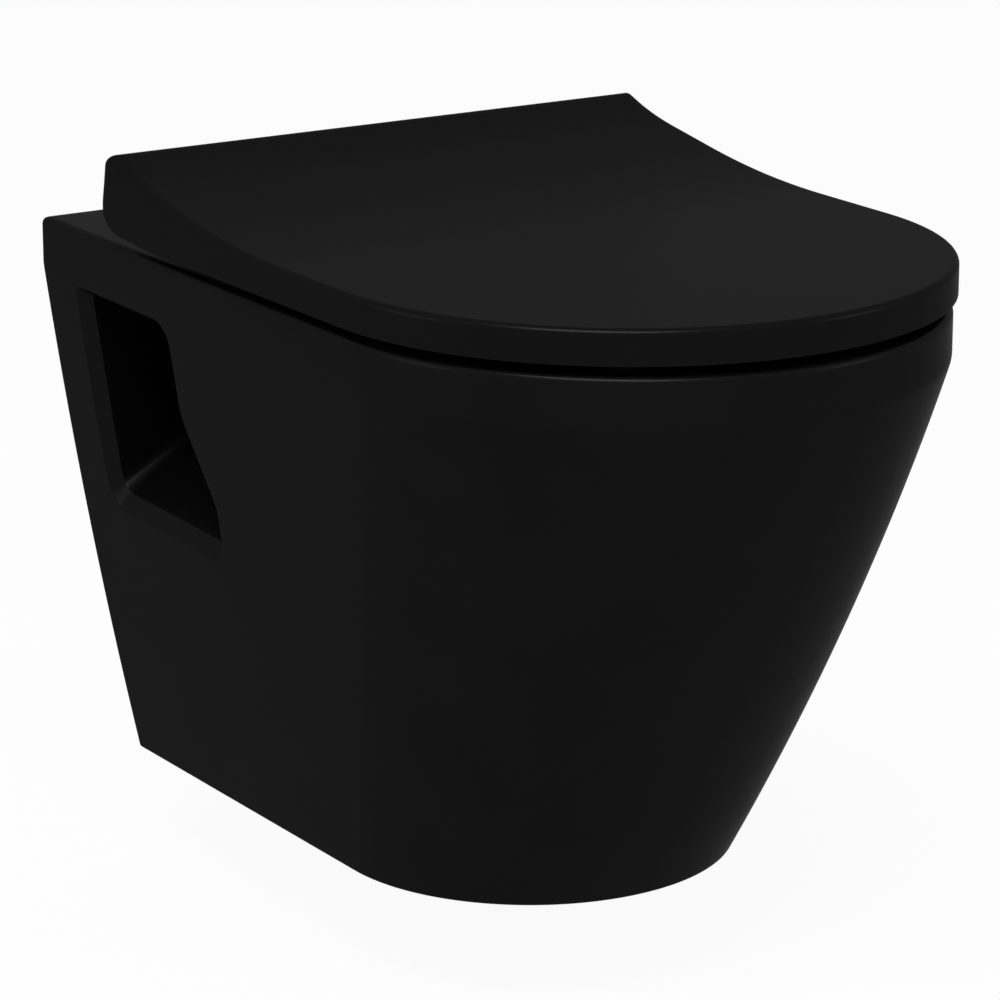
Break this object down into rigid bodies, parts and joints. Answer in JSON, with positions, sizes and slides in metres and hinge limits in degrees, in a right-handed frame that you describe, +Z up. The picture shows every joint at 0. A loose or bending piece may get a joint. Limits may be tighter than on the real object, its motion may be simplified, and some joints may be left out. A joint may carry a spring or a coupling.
{
  "type": "wall hung toilet",
  "caption": "Wall hung toilet pan in black glaze with side access windows, soft-close seat and swept wrap-over lid on lift-off hinges.",
  "frame": {"origin": "on the wall plane, midway between the two wall studs", "axes": "+Z up, front towards -Y, +X to the right of someone who faces the toilet's front"},
  "size_m": [0.365, 0.581, 0.4],
  "materials": {
    "glazed_china": "satin",
    "duroplast": "satin",
    "black_rubber": "matte",
    "black_cap": "matte",
    "black_nylon": "matte",
    "grey_nylon": "satin",
    "zinc_steel": "satin",
    "stainless": "satin",
    "brass": "satin"
  },
  "bodies": {
    "pan": {"pan": "glazed_china", "wall_studs": "zinc_steel", "stud_sleeves": "grey_nylon", "stud_washers": "zinc_steel", "stud_nuts": "zinc_steel", "nut_caps": "black_cap", "expanding_dowels": "black_rubber", "dowel_nuts": "brass", "fixing_rods": "zinc_steel", "disc_seals": "black_rubber", "base_discs": "stainless", "hinge_posts": "stainless"},
    "hinge_carriage": {"hinge_block_left": "black_nylon", "hinge_block_right": "black_nylon", "seat_damper": "grey_nylon", "lid_damper": "grey_nylon", "lid_hinge_pin": "stainless", "seat_hinge_pin": "stainless", "button_spring_left": "stainless", "button_spring_right": "stainless"},
    "release_left": {"release_button_left": "grey_nylon"},
    "release_right": {"release_button_right": "grey_nylon"},
    "seat": {"seat_ring": "duroplast", "seat_damper_shaft": "zinc_steel", "seat_bush": "grey_nylon", "seat_buffers": "black_rubber"},
    "lid": {"lid": "duroplast", "lid_damper_shaft": "zinc_steel", "lid_bush": "grey_nylon", "lid_buffers": "black_rubber"}
  },
  "joints": [
    {"name": "seat_lift_off", "type": "slide", "parent": "pan", "child": "hinge_carriage", "axis": [0, 0, 1], "range_m": [0, 0.05]},
    {"name": "seat_hinge", "type": "hinge", "parent": "hinge_carriage", "child": "seat", "pos_m": [0, -0.11, 0.113], "axis": [1, 0, 0], "range_deg": [-97, 0]},
    {"name": "lid_hinge", "type": "hinge", "parent": "seat", "child": "lid", "pos_m": [0, -0.11, 0.113], "axis": [-1, 0, 0], "range_deg": [0, 100]},
    {"name": "release_left_press", "type": "slide", "parent": "hinge_carriage", "child": "release_left", "axis": [0, -1, 0], "range_m": [0, 0.003], "stiffness_N_per_m": 800, "springref_m": -0.002, "deforming": ["button_spring_left"]},
    {"name": "release_right_press", "type": "slide", "parent": "hinge_carriage", "child": "release_right", "axis": [0, -1, 0], "range_m": [0, 0.003], "stiffness_N_per_m": 800, "springref_m": -0.002, "deforming": ["button_spring_right"]}
  ]
}
